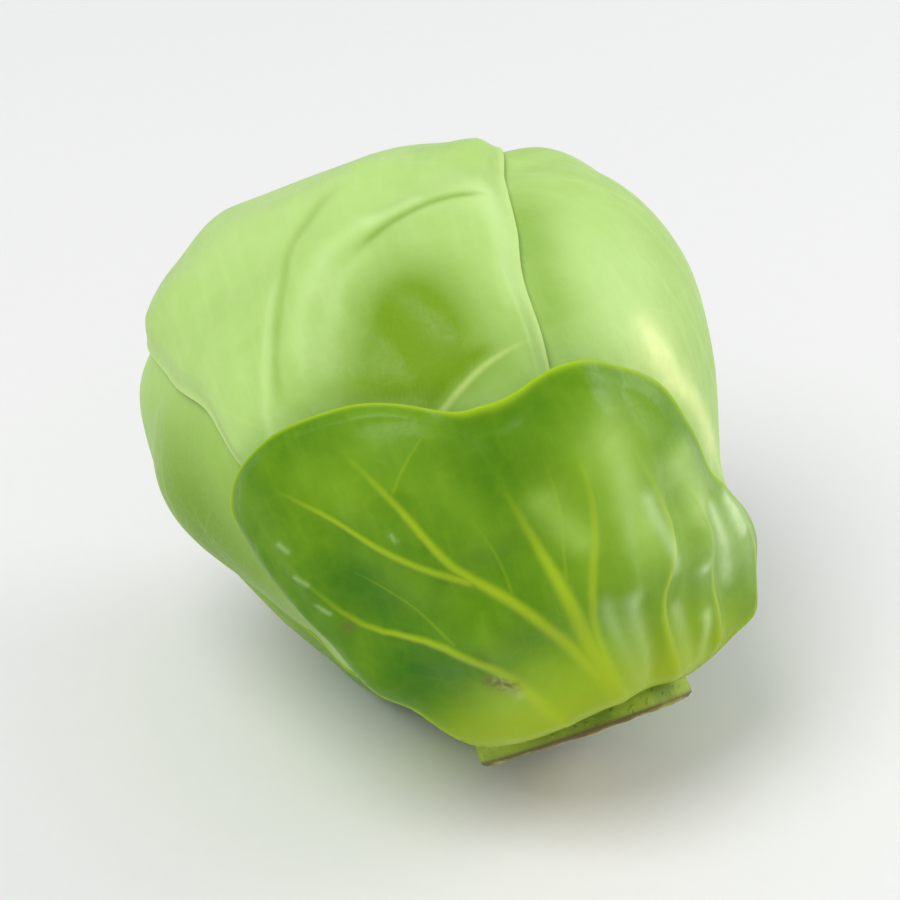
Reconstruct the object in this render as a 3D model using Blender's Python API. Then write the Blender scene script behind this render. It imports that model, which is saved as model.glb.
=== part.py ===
"""A Brussels sprout as picked: a cut stalk, a tight heart and the leaves that wrap round it.

The sprout is worked out upright about the middle of its head, stalk down and crown up, in metres.
A leaf lies over a direction from that middle. Its reach is the angle up from the stalk along its
midrib, and its swing is the angle out to either side of the midrib. The leaves lie in layers, and
each one drapes over whatever is under it. At the end the sprout is laid over on the ground.
"""

import math

import bmesh
import bpy
import numpy as np
from mathutils import Matrix

# Driving dimensions, in metres
HEART_RADIUS = 0.01450
LEAF_GAP = 0.00035
LEAF_THICKNESS = 0.00078
LEAF_EDGE_THICKNESS = 0.00064
MIDRIB_HEIGHT = 0.00055
MIDRIB_DEGREES = 8.0
BLADE_THINNING = 3  # the higher, the closer to its margin a leaf keeps its thickness
MIDRIB_THINNING = 6
STALK_RADIUS = 0.00640
STALK_CUT_DEPTH = 0.01835  # from the middle of the head down to the cut
CUT_SLANT_DEGREES = 6.0
CUT_DEEPEST_AZIMUTH = 75.0
STALK_CHAMFER = 0.00030
COLLAR_THICKNESS = 0.00295  # the stalk widens into a collar under the leaves
COLLAR_EDGE_THICKNESS = 0.00065
COLLAR_DEGREES = 44.0
COLLAR_TAPER_DEGREES = 20.0
LEAF_BASE_DEGREES = 22.5  # where the leaves start, up from the stalk's axis
STALK_TOP_RINGS = (0.0, 9.0, 18.0, 27.0, 36.0)  # against the heart, up to the collar's edge
STALK_SIDE_RINGS = (39.0, 34.0, 30.0, 26.0)  # under the leaves, back down to their bases
STALK_SIDES = 30

# How a leaf settles over the margins of those below it
DRAPE_STARTS = 2.0  # how far past a margin the leaf above starts to come down
DRAPE_DEGREES = 16.0  # and how far it takes
CREASE_DEPTH = 0.00042
CREASE_DEGREES = 8.5
CREASE_SHOWING_THROUGH = 0.3
LIFT_STARTS = 0.7  # how far out along a leaf it starts to stand off
FOLD_DEGREES = 4.2
FOLD_FADE = 0.6  # the share of its height that a fold loses from start to end

# How the sprout lies: crown leant back, away to the left, with its stalk down in front
LEAN_DEGREES = 47.0
HEADING_DEGREES = 125.0
ROLL_DEGREES = 152.0
REST_HEIGHT = 0.01765  # the middle of the head above the ground
RESTING_LEAF = "outer_leaf_left"  # pressed flat under the sprout's weight, between these corners
REST_CORNERS = ((0.0043, 0.0018), (-0.0020, 0.0054), (-0.0037, -0.0006), (0.0022, -0.0055))
PRESSED_BELOW = 0.0015
PRESSED_THICKNESS = 0.00064
CLEAR_OF_GROUND = 0.00003

# The head is flat on one side and fuller on others: how far out it is pushed, and over how wide
HEAD_SHAPE = (
    {"azimuth": -92.0, "latitude": -30.0, "push": -0.00220, "spread": 40.0},
    {"azimuth": -87.0, "latitude": 44.0, "push": 0.00230, "spread": 28.0},
    {"azimuth": 85.0, "latitude": 36.0, "push": 0.00230, "spread": 28.0},
    {"azimuth": 92.0, "latitude": -25.0, "push": -0.00060, "spread": 20.0},
    {"azimuth": 96.0, "latitude": -54.0, "push": 0.00200, "spread": 17.0},
    {"azimuth": 0.0, "latitude": 90.0, "push": -0.00190, "spread": 32.0},
    {"azimuth": 0.0, "latitude": -90.0, "push": -0.00090, "spread": 32.0},
    {"azimuth": -172.0, "latitude": -50.0, "push": -0.00070, "spread": 18.0},
    {"azimuth": -148.0, "latitude": -30.0, "push": 0.00045, "spread": 15.0},
    {"azimuth": -89.0, "latitude": 12.0, "push": 0.00120, "spread": 15.0},
    {"azimuth": -77.0, "latitude": 68.0, "push": 0.00050, "spread": 13.0},
    {"azimuth": -101.0, "latitude": -57.0, "push": -0.00095, "spread": 19.0},
    {"azimuth": 89.0, "latitude": 8.0, "push": 0.00045, "spread": 18.0},
)

GREEN = {
    "heart": (0.62, 0.72, 0.22),
    "pale": (0.42, 0.62, 0.16),
    "mid": (0.28, 0.48, 0.08),
    "deep": (0.14, 0.33, 0.03),
}
CUT_STALK = (0.30, 0.26, 0.08)
LEAF_ROUGHNESS = 0.4
STALK_ROUGHNESS = 0.75
HEART_DETAIL = 4
SHARP_DEGREES = 50.0

# Leaves from the inside out. A margin is how far it lies from the leaf's widest point, in degrees,
# at even turns all round from the tip: tip, right-hand side, base, left-hand side.
LEAVES = (
    {
        "name": "head_leaf_back",
        "azimuth": 185.0, "widest": 118.0,
        "margin": (86, 82, 66, 60, 66, 82, 95, 84, 66, 58, 62, 78),
        "midrib": MIDRIB_HEIGHT, "lift": 0.0, "folds": (), "grid": 22, "green": "pale",
    },
    {
        "name": "head_leaf_left",
        "azimuth": -98.0, "widest": 112.0,
        "margin": (78, 76, 68, 62, 66, 80, 89, 80, 66, 60, 64, 74),
        "midrib": MIDRIB_HEIGHT, "lift": 0.0, "folds": (), "grid": 22, "green": "pale",
    },
    {
        "name": "head_leaf_right",
        "azimuth": 82.0, "widest": 114.0,
        "margin": (80, 74, 66, 62, 66, 82, 91, 84, 76, 66, 70, 80),
        "midrib": MIDRIB_HEIGHT, "lift": 0.0, "folds": (), "grid": 22, "green": "pale",
    },
    {
        "name": "outer_leaf_right",
        "azimuth": 146.0, "widest": 86.0,
        "margin": (46, 54, 54, 50, 52, 60, 63, 54, 46, 44, 46, 50),
        "midrib": MIDRIB_HEIGHT, "lift": 0.00025, "folds": (), "grid": 21, "green": "mid",
    },
    {
        "name": "head_leaf_front",
        "azimuth": -15.0, "widest": 134.0,
        "margin": (72, 62, 47, 43, 48, 72, 111, 58, 38, 40, 48, 62),
        "midrib": MIDRIB_HEIGHT, "lift": 0.0, "folds": (), "grid": 22, "green": "pale",
    },
    {
        "name": "outer_leaf_left",
        "azimuth": -148.0, "widest": 84.0,
        "margin": (46, 46, 44, 43, 46, 56, 61, 58, 52, 50, 54, 52),
        "midrib": 0.00015, "lift": 0.0, "folds": (), "grid": 21, "green": "mid",
    },
    {
        "name": "outer_leaf_front",
        "azimuth": 8.0, "widest": 70.0,
        "margin": (
            18, 19, 25, 32, 39, 43, 51, 70, 58, 48, 56, 54, 55, 58, 59, 60, 40, 22
        ),
        "midrib": MIDRIB_HEIGHT, "lift": 0.00035,
        "folds": (
            {"start": (32.0, 14.0), "end": (66.0, 27.0), "height": 0.00035},
            {"start": (26.0, 24.0), "end": (58.0, 36.0), "height": 0.00055},
            {"start": (12.0, 34.0), "end": (40.0, 44.0), "height": 0.00065},
        ),
        "grid": 27, "green": "deep",
    },
)


def smooth_step(x):
    x = np.clip(x, 0.0, 1.0)
    return x * x * (3.0 - 2.0 * x)


def compass(azimuth, latitude):
    """The direction at an angle round the axis and a height angle above the equator."""
    around, above = math.radians(azimuth), math.radians(latitude)
    return np.array([
        math.cos(above) * math.cos(around), math.cos(above) * math.sin(around), math.sin(above)
    ])


def directions_on(leaf, reach, swing):
    """Directions from the middle of the head at a reach and a swing of this leaf."""
    out = compass(leaf["azimuth"], 0.0)
    side = compass(leaf["azimuth"] + 90.0, 0.0)
    reach, swing = np.radians(reach)[:, None], np.radians(swing)[:, None]
    along = np.sin(reach) * out - np.cos(reach) * np.array([0.0, 0.0, 1.0])
    return np.cos(swing) * along + np.sin(swing) * side


def place_on(leaf, directions):
    """The reach and swing of directions, in degrees. Reach runs from -90 to 270."""
    out = compass(leaf["azimuth"], 0.0)
    side = compass(leaf["azimuth"] + 90.0, 0.0)
    swing = np.degrees(np.arcsin(np.clip(directions @ side, -1.0, 1.0)))
    reach = np.degrees(np.arctan2(directions @ out, -directions[:, 2]))
    return np.where(reach < -90.0, reach + 360.0, reach), swing


def from_stalk(directions):
    """The angle between each direction and the stalk's axis, in degrees."""
    return np.degrees(np.arccos(np.clip(-directions[:, 2], -1.0, 1.0)))


def margin_radius(leaf, turn):
    """How far the margin lies from the leaf's widest point, in degrees, at a turn from its tip."""
    values = np.array(leaf["margin"], float)
    place = np.degrees(turn) * len(values) / 360.0 % len(values)
    number = np.floor(place).astype(int)
    t = place - number
    before, here, after, beyond = (values[(number + step) % len(values)] for step in (-1, 0, 1, 2))
    bend = 2.0 * before - 5.0 * here + 4.0 * after - beyond
    twist = 3.0 * (here - after) + beyond - before
    return here + 0.5 * t * (after - before + t * (bend + t * twist))


def outside_margin(leaf, directions):
    """(degrees outside the leaf's margin, negative inside; how far out as a share of the margin)."""
    reach, swing = place_on(leaf, directions)
    ahead = reach - leaf["widest"]
    distance = np.hypot(ahead, swing)
    edge = margin_radius(leaf, np.arctan2(swing, ahead))
    return distance - edge, distance / edge


def thickness_of(leaf, directions):
    """Thinner at the margin, with a midrib that fades from the stalk end."""
    reach, swing = place_on(leaf, directions)
    out_share = np.clip(outside_margin(leaf, directions)[1], 0.0, 1.0)
    thinning = 1.0 - out_share**BLADE_THINNING
    blade = LEAF_EDGE_THICKNESS + (LEAF_THICKNESS - LEAF_EDGE_THICKNESS) * thinning
    fade = 1.0 - smooth_step((reach - LEAF_BASE_DEGREES) / leaf["widest"])
    ridge = np.exp(-((swing / MIDRIB_DEGREES) ** 2)) * (1.0 - out_share**MIDRIB_THINNING)
    return blade + leaf["midrib"] * fade * ridge


def lift_of(leaf, directions):
    """How far the leaf stands off what it covers, at its margin and along its folds."""
    reach, swing = place_on(leaf, directions)
    out_share = np.clip(outside_margin(leaf, directions)[1], 0.0, 1.0)
    lift = leaf["lift"] * smooth_step((out_share - LIFT_STARTS) / (1.0 - LIFT_STARTS))
    place = np.stack([reach, swing], axis=1)
    for fold in leaf["folds"]:
        start, end = np.array(fold["start"]), np.array(fold["end"])
        run = end - start
        along = np.clip((place - start) @ run / (run @ run), 0.0, 1.0)
        off = np.linalg.norm(place - start - along[:, None] * run, axis=1)
        ridge = np.exp(-((off / FOLD_DEGREES) ** 2)) * (1.0 - FOLD_FADE * along)
        lift = lift + fold["height"] * ridge
    return lift


def crease_of(leaf, directions):
    """The dip along a leaf's margin, which fades out by the stalk."""
    outside = outside_margin(leaf, directions)[0]
    fade = smooth_step((from_stalk(directions) - COLLAR_DEGREES) / COLLAR_DEGREES)
    return CREASE_DEPTH * fade * np.exp(-((outside / CREASE_DEGREES) ** 2))


def collar_thickness(directions):
    share = smooth_step((from_stalk(directions) - LEAF_BASE_DEGREES) / COLLAR_TAPER_DEGREES)
    return COLLAR_THICKNESS + (COLLAR_EDGE_THICKNESS - COLLAR_THICKNESS) * share


def heart_surface(directions):
    """The heart's radius, with a crease under each leaf's margin."""
    radius = np.full(len(directions), HEART_RADIUS)
    for shape in HEAD_SHAPE:
        towards = directions @ compass(shape["azimuth"], shape["latitude"])
        off = np.degrees(np.arccos(np.clip(towards, -1.0, 1.0)))
        radius = radius + shape["push"] * np.exp(-((off / shape["spread"]) ** 2))
    return radius - sum(crease_of(leaf, directions) for leaf in LEAVES)


def surface_under(layer, directions):
    """The radius that a leaf at this layer rests on: heart, collar and every leaf below it."""
    outside = from_stalk(directions) - COLLAR_DEGREES
    collar = LEAF_GAP + collar_thickness(directions)
    cover = 1.0 - smooth_step((outside - DRAPE_STARTS) / DRAPE_DEGREES)
    radius = heart_surface(directions) + collar * cover
    for leaf in LEAVES[:layer]:
        rise = LEAF_GAP + lift_of(leaf, directions) + thickness_of(leaf, directions)
        outside = outside_margin(leaf, directions)[0]
        cover = 1.0 - smooth_step((outside - DRAPE_STARTS) / DRAPE_DEGREES)
        smoothed = (1.0 - CREASE_SHOWING_THROUGH) * crease_of(leaf, directions)
        radius = radius + rise * cover + smoothed
    return radius


def laid_over():
    """The turn and lift that lay the upright sprout on the ground."""
    return (
        Matrix.Translation((0.0, 0.0, REST_HEIGHT))
        @ Matrix.Rotation(math.radians(HEADING_DEGREES), 4, "Z")
        @ Matrix.Rotation(math.radians(LEAN_DEGREES), 4, "Y")
        @ Matrix.Rotation(math.radians(ROLL_DEGREES), 4, "Z")
    )


def material(name, colour, roughness):
    made = bpy.data.materials.new(name)
    made.use_nodes = True
    shader = made.node_tree.nodes["Principled BSDF"]
    shader.inputs["Base Color"].default_value = (*colour, 1.0)
    shader.inputs["Roughness"].default_value = roughness
    shader.inputs["Metallic"].default_value = 0.0
    return made


def press_flat(inner, outer):
    """Presses the leaf flat between four of its corners, and leaves the rest just off the ground."""
    low = [v for v in outer if v.co.z < PRESSED_BELOW]
    corners = [min(low, key=lambda v: math.dist(v.co[:2], place)) for place in REST_CORNERS]
    places = [np.array(v.co[:2]) for v in corners]
    sides = [(start, end - start) for start, end in zip(places, places[1:] + places[:1])]
    for vertex in low:
        aways = [(np.array(vertex.co[:2]) - start, run) for start, run in sides]
        within = all(run[0] * away[1] - run[1] * away[0] > -1e-12 for away, run in aways)
        vertex.co.z = 0.0 if within else max(vertex.co.z, CLEAR_OF_GROUND)
    for vertex in inner:
        vertex.co.z = max(vertex.co.z, PRESSED_THICKNESS)


def finish(name, body, finish_material):
    bmesh.ops.recalc_face_normals(body, faces=body.faces)
    if body.calc_volume(signed=True) < 0.0:
        bmesh.ops.reverse_faces(body, faces=body.faces)
    mesh = bpy.data.meshes.new(name)
    body.to_mesh(mesh)
    body.free()
    mesh.materials.append(finish_material)
    mesh.shade_smooth()
    mesh.set_sharp_from_angle(angle=math.radians(SHARP_DEGREES))
    made = bpy.data.objects.new(name, mesh)
    bpy.context.scene.collection.objects.link(made)


def move_to(vertices, directions, radius):
    for vertex, place in zip(vertices, directions * radius[:, None]):
        vertex.co = place


def make_leaf(leaf):
    """A square grid drawn out to the leaf's outline, doubled for thickness and draped in its layer."""
    body = bmesh.new()
    bmesh.ops.create_grid(body, x_segments=leaf["grid"], y_segments=leaf["grid"], size=1.0)
    bmesh.ops.triangulate(body, faces=body.faces, quad_method="FIXED")
    inner = list(body.verts)
    x, y = np.clip([v.co[:2] for v in inner], -1.0, 1.0).T
    disc = np.array([x * np.sqrt(1.0 - y * y / 2.0), y * np.sqrt(1.0 - x * x / 2.0)])
    turn = np.arctan2(disc[1], disc[0])
    distance = np.hypot(*disc) * margin_radius(leaf, turn)
    reach, swing = leaf["widest"] + distance * np.cos(turn), distance * np.sin(turn)
    directions = directions_on(leaf, reach, swing)
    made = bmesh.ops.extrude_face_region(body, geom=body.faces[:], use_keep_orig=True)
    outer = [part for part in made["geom"] if isinstance(part, bmesh.types.BMVert)]
    number_at = {tuple(v.co): number for number, v in enumerate(inner)}
    order = [number_at[tuple(v.co)] for v in outer]
    inside = surface_under(LEAVES.index(leaf), directions) + LEAF_GAP + lift_of(leaf, directions)
    outside = inside + thickness_of(leaf, directions)
    move_to(outer, directions[order], outside[order])
    move_to(inner, directions, inside)
    body.transform(laid_over())
    if leaf["name"] == RESTING_LEAF:
        press_flat(inner, outer)
    finish(leaf["name"], body, material(leaf["name"], GREEN[leaf["green"]], LEAF_ROUGHNESS))


def make_heart():
    """The tight bud of young leaves, with a dip under each margin that lies on it."""
    body = bmesh.new()
    bmesh.ops.create_icosphere(body, subdivisions=HEART_DETAIL, radius=1.0)
    directions = np.array([v.co.normalized() for v in body.verts])
    move_to(list(body.verts), directions, heart_surface(directions))
    body.transform(laid_over())
    finish("heart", body, material("heart", GREEN["heart"], LEAF_ROUGHNESS))


def cut_surface(directions):
    """The slanted plane that the stalk was cut along."""
    deeper = directions @ compass(CUT_DEEPEST_AZIMUTH, 0.0)
    return STALK_CUT_DEPTH / (-directions[:, 2] - math.tan(math.radians(CUT_SLANT_DEGREES)) * deeper)


def make_stalk():
    """The cut stub, which widens into a collar between the heart and the leaves."""
    rim_degrees = math.degrees(math.atan(STALK_RADIUS / STALK_CUT_DEPTH))
    chamfer_degrees = math.degrees(STALK_CHAMFER / STALK_CUT_DEPTH)
    top = [*STALK_TOP_RINGS, COLLAR_DEGREES]
    side = [COLLAR_DEGREES, *STALK_SIDE_RINGS, LEAF_BASE_DEGREES - 1.0]
    cut = [rim_degrees, rim_degrees - chamfer_degrees, 0.0]
    body = bmesh.new()
    points = [
        body.verts.new((math.sin(math.radians(angle)), 0.0, -math.cos(math.radians(angle))))
        for angle in top + side + cut
    ]
    for number, point in enumerate(points):
        point.co *= 1.0 + number  # keeps the rings apart until they are placed
    edges = [body.edges.new(pair) for pair in zip(points, points[1:])]
    bmesh.ops.spin(
        body, geom=points + edges, cent=(0, 0, 0), axis=(0, 0, 1), dvec=(0, 0, 0),
        angle=math.tau, steps=STALK_SIDES, use_merge=True, use_duplicate=False,
    )
    bmesh.ops.remove_doubles(body, verts=body.verts, dist=1e-6)
    vertices = list(body.verts)
    ring = np.array([round(v.co.length) - 1 for v in vertices])
    directions = np.array([v.co.normalized() for v in vertices])
    radius = heart_surface(directions) + LEAF_GAP
    on_side = (ring >= len(top)) & (ring < len(top + side))
    radius = np.where(on_side, radius + collar_thickness(directions), radius)
    chamfer = np.where(ring == len(top + side), STALK_CHAMFER, 0.0)
    radius = np.where(ring >= len(top + side), cut_surface(directions) - chamfer, radius)
    move_to(vertices, directions, radius)
    body.transform(laid_over())
    finish("stalk", body, material("cut_stalk", CUT_STALK, STALK_ROUGHNESS))


def main():
    for old in list(bpy.data.objects):
        bpy.data.objects.remove(old)
    make_stalk()
    make_heart()
    for leaf in LEAVES:
        make_leaf(leaf)


main()
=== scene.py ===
import math

import bmesh
import bpy
import numpy as np
from mathutils import Matrix, Vector


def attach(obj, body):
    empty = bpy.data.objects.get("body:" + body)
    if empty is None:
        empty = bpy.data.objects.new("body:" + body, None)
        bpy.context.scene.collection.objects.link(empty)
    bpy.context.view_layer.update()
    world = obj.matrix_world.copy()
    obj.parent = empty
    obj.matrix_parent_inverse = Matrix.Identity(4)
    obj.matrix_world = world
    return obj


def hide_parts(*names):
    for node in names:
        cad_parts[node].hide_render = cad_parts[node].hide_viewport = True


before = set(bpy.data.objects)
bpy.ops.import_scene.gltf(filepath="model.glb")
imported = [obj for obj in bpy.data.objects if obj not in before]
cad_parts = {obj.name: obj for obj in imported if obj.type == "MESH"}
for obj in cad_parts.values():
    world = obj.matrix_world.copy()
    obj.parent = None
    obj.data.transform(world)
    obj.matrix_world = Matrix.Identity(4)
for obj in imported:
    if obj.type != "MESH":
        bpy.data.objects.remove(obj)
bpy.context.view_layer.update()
print("frame loaded:", ", ".join(sorted(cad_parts)))

# how the sprout grows, in metres and degrees
growth = {
    "heartRadius": 0.01450,
    "leafGap": 0.00035,
    "leafThickness": 0.00078,
    "leafEdgeThickness": 0.00064,
    "bladeThinning": 3,
    "midribDegrees": 8.0,
    "midribThinning": 6,
    "leafBaseDegrees": 22.5,
    "collarDegrees": 44.0,
    "collarTaperDegrees": 20.0,
    "collarThickness": 0.00295,
    "collarEdgeThickness": 0.00065,
    "drapeStarts": 2.0,
    "drapeDegrees": 16.0,
    "creaseDepth": 0.00042,
    "creaseDegrees": 8.5,
    "creaseShowingThrough": 0.3,
    "liftStarts": 0.7,
    "foldDegrees": 4.2,
    "foldFade": 0.6,
}

# how it lies, and how high its middle is
lying = {"lean": 47.0, "heading": 125.0, "roll": 152.0, "height": 0.01765}

# flatter and fuller places: how far the head is pushed out, and over how wide an angle
headShape = [
    {"azimuth": -92.0, "latitude": -30.0, "push": -0.00220, "spread": 40.0},
    {"azimuth": -87.0, "latitude": 44.0, "push": 0.00230, "spread": 28.0},
    {"azimuth": 85.0, "latitude": 36.0, "push": 0.00230, "spread": 28.0},
    {"azimuth": 92.0, "latitude": -25.0, "push": -0.00060, "spread": 20.0},
    {"azimuth": 96.0, "latitude": -54.0, "push": 0.00200, "spread": 17.0},
    {"azimuth": 0.0, "latitude": 90.0, "push": -0.00190, "spread": 32.0},
    {"azimuth": 0.0, "latitude": -90.0, "push": -0.00090, "spread": 32.0},
    {"azimuth": -172.0, "latitude": -50.0, "push": -0.00070, "spread": 18.0},
    {"azimuth": -148.0, "latitude": -30.0, "push": 0.00045, "spread": 15.0},
    {"azimuth": -89.0, "latitude": 12.0, "push": 0.00120, "spread": 15.0},
    {"azimuth": -77.0, "latitude": 68.0, "push": 0.00050, "spread": 13.0},
    {"azimuth": -101.0, "latitude": -57.0, "push": -0.00095, "spread": 19.0},
    {"azimuth": 89.0, "latitude": 8.0, "push": 0.00045, "spread": 18.0},
]


def tone(red, green, blue):
    # a colour as a paint program gives it, 0 to 255, made linear
    shares = [value / 255 for value in (red, green, blue)]
    return tuple(s / 12.92 if s <= 0.04045 else ((s + 0.055) / 1.055) ** 2.4 for s in shares)


# the two kinds of leaf: pale and tight on the head, darker and veined outside it
# each look's pale cream colour is painted highlight, sheen and backlight; its light and dark tones serve both
# the leaf's own paler and darker places and painted highlight and painted shade
headLook = {
    "body": tone(172, 209, 112), "light": tone(200, 234, 150), "dark": tone(116, 158, 0),
    "paintedHighlight": tone(236, 252, 166), "vein": tone(214, 236, 140), "rim": tone(206, 234, 148),
    "base": tone(198, 216, 96), "brown": tone(150, 142, 70),
    "lineColour": 0.75, "grownShare": 0.22, "rimColour": 0.45, "netting": 0.03, "mottle": 0.16,
    "streaks": 0.14, "flecks": 0.10, "roughness": 0.46, "coat": 0.05, "sheen": 0.02, "specular": 0.30,
    "veinHeight": 0.00004, "bulge": 0.00004, "rimDegrees": 1.6, "baseDegrees": 30.0,
}
outerLook = {
    "body": tone(88, 136, 0), "light": tone(150, 192, 46), "dark": tone(56, 116, 0),
    "paintedHighlight": tone(208, 234, 170), "vein": tone(176, 200, 30), "rim": tone(164, 198, 24),
    "base": tone(166, 190, 26), "brown": tone(112, 104, 54),
    "lineColour": 0.72, "grownShare": 0.6, "rimColour": 0.90, "netting": 0.04, "mottle": 0.30,
    "streaks": 0.10, "flecks": 0.12, "roughness": 0.38, "coat": 0.05, "sheen": 0.0, "specular": 0.20,
    "veinHeight": 0.00010, "bulge": 0.00007, "rimDegrees": 1.3, "baseDegrees": 19.0,
}
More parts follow.
